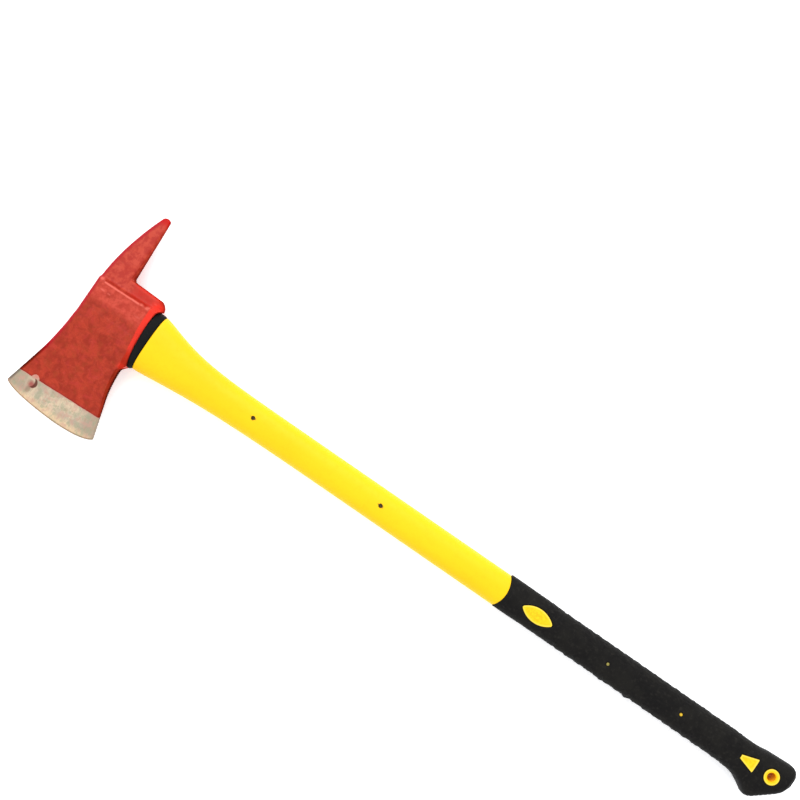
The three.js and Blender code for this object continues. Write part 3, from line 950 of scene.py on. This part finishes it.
def dusty_paint(look, x, b, blotch, grain, speck):
    """The dulled red: brown on the blade, pinker towards the pick, and mottled all over."""
    paint = look.mix(look.step(blotch, 0.34, 0.66), colour(170, 48, 27), colour(204, 66, 42))
    hue = look.noise(8, 3, 0.6, look.stretched(1.0, 1.0, 1.0, 0.4))
    paint = look.tint(paint, (172, 68, 30), hue, 0.54, 0.66, 0.4)
    paint = look.tint(paint, (204, 58, 54), hue, 0.46, 0.34, 0.4)
    paint = look.tint(paint, (210, 80, 58), speck, 0.5, 0.75, 0.4)
    paint = look.tint(paint, (158, 44, 24), grain, 0.35, 0.7, 0.35)
    upper = look.times(look.step(b, -6.0, -16.0), look.step(speck, 0.3, 0.6, 0.45, 0.9))
    patchy = look.step(look.noise(6, 3, 0.6), 0.38, 0.62)
    paint = look.mix(upper, paint, look.mix(patchy, colour(204, 66, 50), colour(228, 86, 68)))
    shank = look.mix(patchy, colour(193, 54, 42), colour(216, 78, 58))
    pick = look.times(look.step(b, -31.0, -34.0), look.step(speck, 0.3, 0.6, 0.5, 0.95))
    return look.mix(pick, paint, look.mix(look.step(x, 0.0, 8.0), shank, colour(209, 48, 34)))


def marked_paint(look, paint, clean, dark, speck):
    """The paint with its bright rims, red tip, painted highlights on its corners and seam, and painted
    shade: deep red on its toe edge and dark on its sides.
    """
    # bright rim paint, with painted highlights on the corners
    paint = look.mix(clean, paint, colour(268, 62, 44))
    # painted shade on the toe edge
    paint = look.mix(look.attribute("crimson"), paint, colour(190, 22, 36))
    paint = look.mix(look.attribute("tip"), paint, colour(214, 8, 2))
    # painted highlight along the seam
    rubbed = look.times(look.attribute("rubbed"), look.step(speck, 0.3, 0.5, 0.75, 1.0))
    paint = look.tint(paint, (250, 116, 100), rubbed, 0.2, 0.85)
    # painted shade: dark red-brown on the walls and edges
    return look.mix(dark, paint, colour(72, 20, 14))


def past_paint(look, x, b, ragged):
    """How far a place lies past the ragged paint line, towards the edge."""
    (x0, b0), (x1, b1) = PAINT_LINE
    slope = (b1 - b0) / (x1 - x0)
    line = look.math("MULTIPLY_ADD", x, slope, b0 - slope * x0)
    return look.math("ADD", look.math("SUBTRACT", b, line), ragged)


def ground_steel(look, x, b, past, scratch):
    """The bevel: cloudy and warm, duller at its sides, scratched, pink beside the paint."""
    cloudy = look.noise(12, 4, 0.65, look.stretched(1.0, 0.7, 1.0))
    steel = look.mix(look.step(cloudy, 0.36, 0.64), colour(212, 198, 174), colour(250, 226, 194))
    sides = look.math("MAXIMUM", look.step(x, -22.0, -46.0), look.step(x, 22.0, 48.0))
    steel = look.mix(look.times(sides, 0.75), steel, colour(196, 172, 150))
    steel = look.mix(look.step(look.noise(5, 3), 0.5, 0.72, 0, 0.5), steel, colour(206, 168, 134))
    steel = look.tint(steel, (270, 234, 186), b, 108.0, 117.0, 0.75)
    steel = look.tint(steel, (168, 160, 146), scratch, 0.4, 0.75, 0.35)
    tints = look.noise(7, 3, 0.6, look.stretched(1.0, 1.0, 1.0, 1.3))
    steel = look.tint(steel, (230, 178, 162), tints, 0.52, 0.62, 0.5)
    steel = look.tint(steel, (180, 186, 154), tints, 0.48, 0.38, 0.5)
    return look.tint(steel, (232, 164, 148), past, 1.3, 0.2, 0.6)


def chip_marks(look, steel, place, ragged):
    """The chip's pink peak, its smear and trail, and the crescent of shade in its far side."""
    x, b = CHIP
    peak = look.spot(place, (x, b - 6), (3.6, 3.4), ragged, 0.1)
    steel = look.tint(steel, (238, 156, 140), peak, 0.0, 0.5, 0.8)
    smear = look.spot(place, (x - 0.6, b + 5.0), (6.0, 5.6), ragged, 0.5)
    steel = look.tint(steel, (190, 96, 90), smear, 0.0, 0.8, 0.9)
    trail = look.spot(place, (x - 1.5, b + 11), (3.6, 5.5), ragged, 0.5)
    steel = look.tint(steel, (168, 136, 116), trail, 0.0, 0.6, 0.6)
    dent = look.spot(place, (x + 0.2, b + 2.8), (5.2, 5.6), ragged, 0.1)
    inner = look.spot(place, (x - 3.7, b + 2.4), (5.2, 6.2), ragged, 0.1)
    shade = look.times(look.step(dent, 0.0, 0.12), look.step(inner, 0.1, -0.12))
    return look.mix(look.times(shade, 0.92), steel, colour(112, 54, 44))


def head_look():
    """Dusty red paint, bright on its rims, with painted highlights and painted shade, over a ground
    steel bevel.
    """
    look = Look("red_paint_over_steel")
    x, y, _ = look.axes()
    b = look.times(y, -1.0)
    blotch = look.noise(10, 4, 0.62, distortion=0.6)
    grain = look.noise(1.5, 3, 0.7)
    speck = look.noise(4.2, 3, 0.65)
    scratch = look.noise(1.1, 4, 0.7, look.stretched(1.0, 0.09, 1.0, 0.12))
    ragged = look.math("MULTIPLY_ADD", look.noise(5, 4, 0.7), 1.6, -0.8)
    uneven = look.step(look.noise(6, 3), 0.25, 0.5, 0.7, 1.0)
    clean = look.times(look.attribute("clean"), uneven)
    # the dark mark is painted shade
    dark = look.attribute("dark")

    past = past_paint(look, x, b, ragged)
    tab = look.spot((x, b), (CHIP[0], CHIP[1] - 1.3), (4.6, 5.6), ragged, 0.12)
    bare = look.step(look.math("MAXIMUM", past, look.times(tab, 4.0)), -0.12, 0.12)
    paint = dusty_paint(look, x, b, blotch, grain, speck)
    paint = marked_paint(look, paint, clean, dark, speck)
    paint = look.tint(paint, (140, 30, 30), past, -2.0, -0.4, 0.5)
    steel = chip_marks(look, ground_steel(look, x, b, past, scratch), (x, b), ragged)
    edge = look.times(look.attribute("edge"), 0.85)
    steel = look.mix(edge, steel, colour(172, 140, 108))
    # painted shade on the bare steel
    steel = look.mix(dark, steel, colour(112, 102, 92))

    look.set("Base Color", look.mix(bare, paint, steel))
    # the painted shade also lowers the steel's metalness and turns off its shine
    look.set("Metallic", look.times(bare, look.math("MULTIPLY_ADD", dark, -0.5, 0.5)))
    look.set("Specular IOR Level", look.step(dark, 0.0, 0.1, 0.17, 0.0))
    rough = look.step(blotch, 0.3, 0.7, 0.42, 0.6)
    rough = look.math("SUBTRACT", rough, look.times(clean, 0.16))
    node = look.add("ShaderNodeMix", data_type="FLOAT")
    for index, value in ((0, bare), (2, rough), (3, look.step(scratch, 0.3, 0.7, 0.36, 0.5))):
        look.feed(node.inputs[index], value)
    look.set("Roughness", node.outputs[0])
    height = look.math("MULTIPLY_ADD", grain, 0.5, look.times(speck, 0.8))
    height = look.math("ADD", height, look.times(bare, look.times(scratch, 0.6)))
    look.set("Normal", look.bump(height, 0.12))
    return look.material


def resin_look():
    look = Look("eye_resin_amber", Coat_Weight=0.5, Specular_IOR_Level=0.5)
    clouds = look.noise(6, 4, 0.6)
    tone = look.mix(look.step(clouds, 0.35, 0.7), colour(30, 25, 20), colour(62, 48, 32))
    bubbles = look.noise(1.3, 2, 0.5)
    look.set("Base Color", look.mix(look.step(bubbles, 0.62, 0.7), tone, colour(96, 74, 48)))
    look.set("Roughness", look.step(clouds, 0.3, 0.7, 0.22, 0.4))
    look.set("Normal", look.bump(bubbles, 0.25))
    return look.material


def core_look():
    """Fibreglass: glass strands along the rod, cut across at its end."""
    look = Look("fibreglass_strands", Specular_IOR_Level=0.5)
    strands = look.noise(0.8, 4, 0.7, look.stretched(0.03, 1.0, 1.0))
    clouds = look.noise(7, 3, 0.6)
    tone = look.mix(look.step(strands, 0.35, 0.7), colour(150, 126, 78), colour(206, 190, 142))
    look.set("Base Color", look.mix(look.step(clouds, 0.45, 0.7, 0, 0.5), tone, colour(122, 98, 60)))
    look.set("Roughness", look.step(strands, 0.3, 0.7, 0.4, 0.62))
    look.set("Normal", look.bump(strands, 0.15))
    return look.material


def rubber_look(name, dark, light, dust):
    """Black rubber with a fine moulded grain and a little dust in its texture."""
    look = Look(name, Specular_IOR_Level=0.07)
    patches = look.noise(22, 4, 0.6)
    grain = look.noise(0.9, 3, 0.7)
    fine = look.noise(3.5, 3, 0.6)
    tone = look.mix(look.step(patches, 0.35, 0.68), dark, light)
    look.set("Base Color", look.mix(look.step(fine, 0.5, 0.78, 0, 0.5), tone, dust))
    look.set("Roughness", look.step(patches, 0.3, 0.7, 0.56, 0.76))
    height = look.math("MULTIPLY_ADD", fine, 0.8, look.times(grain, 0.6))
    look.set("Normal", look.bump(height, 0.22))
    return look.material


def jacket_look():
    """Yellow moulded plastic, slightly cloudy, with a fine orange-peel surface."""
    look = Look("yellow_plastic", Specular_IOR_Level=0.2)
    flow = look.noise(60, 3, 0.5, look.stretched(0.35, 1.0, 1.0))
    mottle = look.noise(5, 4, 0.6)
    peel = look.noise(1.6, 2, 0.5)
    scuff = look.noise(2.4, 4, 0.7, look.stretched(0.16, 1.0, 1.0, 0.08))
    tone = look.mix(look.step(flow, 0.35, 0.65), colour(285, 225, 8), colour(288, 233, 14))
    tone = look.tint(tone, (282, 214, 6), mottle, 0.45, 0.75, 0.25)
    tone = look.tint(tone, (258, 206, 30), scuff, 0.68, 0.84, 0.3)
    cloudy = look.step(look.noise(3, 3, 0.6), 0.4, 0.62)
    middle = look.mix(cloudy, colour(262, 212, 14), colour(268, 234, 22))
    tone = look.mix(look.attribute("pad_core"), tone, middle)
    # painted highlight on the pads' rims
    tone = look.mix(look.attribute("pad_rim"), tone, colour(275, 243, 84))
    # painted shade in the groove round the pads
    tone = look.mix(look.attribute("pad_side"), tone, colour(70, 42, 10))
    # painted light: the hanging hole's shaded wall is given the lit yellow
    tone = look.mix(look.attribute("hole"), tone, colour(282, 206, 14))
    tone = look.mix(look.attribute("pip_dirt"), tone, colour(128, 134, 88))
    # painted shade in the pin holes
    tone = look.mix(look.attribute("pin_dirt"), tone, colour(120, 88, 30))
    look.set("Base Color", tone)
    look.set("Roughness", look.step(mottle, 0.3, 0.7, 0.4, 0.52))
    look.set("Normal", look.bump(look.math("MULTIPLY_ADD", mottle, 0.6, peel), 0.06))
    return look.material


def floor_look():
    """Pale, matt and faintly lit from beneath, as a light table is."""
    look = Look("pale_floor", Specular_IOR_Level=0.1, Roughness=0.9)
    look.set("Base Color", (0.93, 0.93, 0.93, 1.0))
    look.set("Emission Color", (0.95, 0.97, 1.0, 1.0))
    look.set("Emission Strength", FLOOR_GLOW)
    return look.material


# ---------------------------------------------------------------- assembly

def finish_piece(obj, material, stands_for, sharp_angle=38):
    mesh = obj.data
    mesh.materials.clear()
    mesh.materials.append(material)
    mesh.polygons.foreach_set("use_smooth", np.ones(len(mesh.polygons), bool))
    mesh.set_sharp_from_angle(angle=math.radians(sharp_angle))
    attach(obj, "root")
    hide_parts(stands_for)


def make_axe():
    collar = rubber_look("collar_rubber", colour(22, 23, 24), colour(31, 30, 30), colour(41, 41, 41))
    grip = rubber_look("grip_rubber", colour(25, 24, 24), colour(35, 34, 32), colour(54, 52, 48))
    finish_piece(make_head(), head_look(), "axe_head")
    finish_piece(make_resin(), resin_look(), "eye_resin")
    finish_piece(make_core(), core_look(), "fibreglass_core")
    finish_piece(make_collar(), collar, "shoulder_collar")
    finish_piece(make_jacket(), jacket_look(), "handle_jacket")
    finish_piece(make_grip(), grip, "grip_sleeve", 50)


# ---------------------------------------------------------------- stage, camera and light

FLOOR_HALF = 60.0  # metres
FLOOR_GLOW = 0.42
FLOOR_DROP = 0.0004
CAMERA_AT = (0.292, 0.102)
CAMERA_HEIGHT = 1.25  # above the axe's centre plane
CAMERA_TURN = 34.6  # degrees
FIELD_WIDTH = 0.8264  # metres across the picture at the centre plane
KEY_TURN = 124.6  # degrees from +X: towards the top of the picture
KEY_RISE = 48
KEY_STRENGTH = 1.7
WORLD_LEVEL = 1.0


def make_floor():
    mesh = bpy.data.meshes.new("floor")
    work = bmesh.new()
    corners = [(-1, -1), (1, -1), (1, 1), (-1, 1)]
    work.faces.new([work.verts.new((u * FLOOR_HALF, v * FLOOR_HALF, -FLOOR_DROP)) for u, v in corners])
    work.to_mesh(mesh)
    work.free()
    mesh.materials.append(floor_look())
    linked("floor", mesh)


def make_camera():
    data = bpy.data.cameras.new("camera")
    data.sensor_width = 36
    data.lens = data.sensor_width * CAMERA_HEIGHT / FIELD_WIDTH
    data.clip_end = 100
    camera = linked("camera", data)
    camera.location = (*CAMERA_AT, CAMERA_HEIGHT + MIDDLE / 1000)
    camera.rotation_euler = (0, 0, math.radians(CAMERA_TURN))
    bpy.context.scene.camera = camera


def sun(name, turn, rise, strength, softness):
    data = bpy.data.lights.new(name, "SUN")
    data.energy = strength
    data.angle = math.radians(softness)
    lamp = linked(name, data)
    lamp.rotation_euler = (0, math.radians(90 - rise), math.radians(turn))


def make_light():
    world = bpy.data.worlds.new("studio")
    world.use_nodes = True
    background = world.node_tree.nodes["Background"]
    background.inputs["Color"].default_value = (1, 1, 1, 1)
    background.inputs["Strength"].default_value = WORLD_LEVEL
    bpy.context.scene.world = world
    sun("key", KEY_TURN, KEY_RISE, KEY_STRENGTH, 50)
    bpy.context.scene.view_settings.view_transform = "Standard"


make_camera()
make_light()
make_floor()
make_axe()
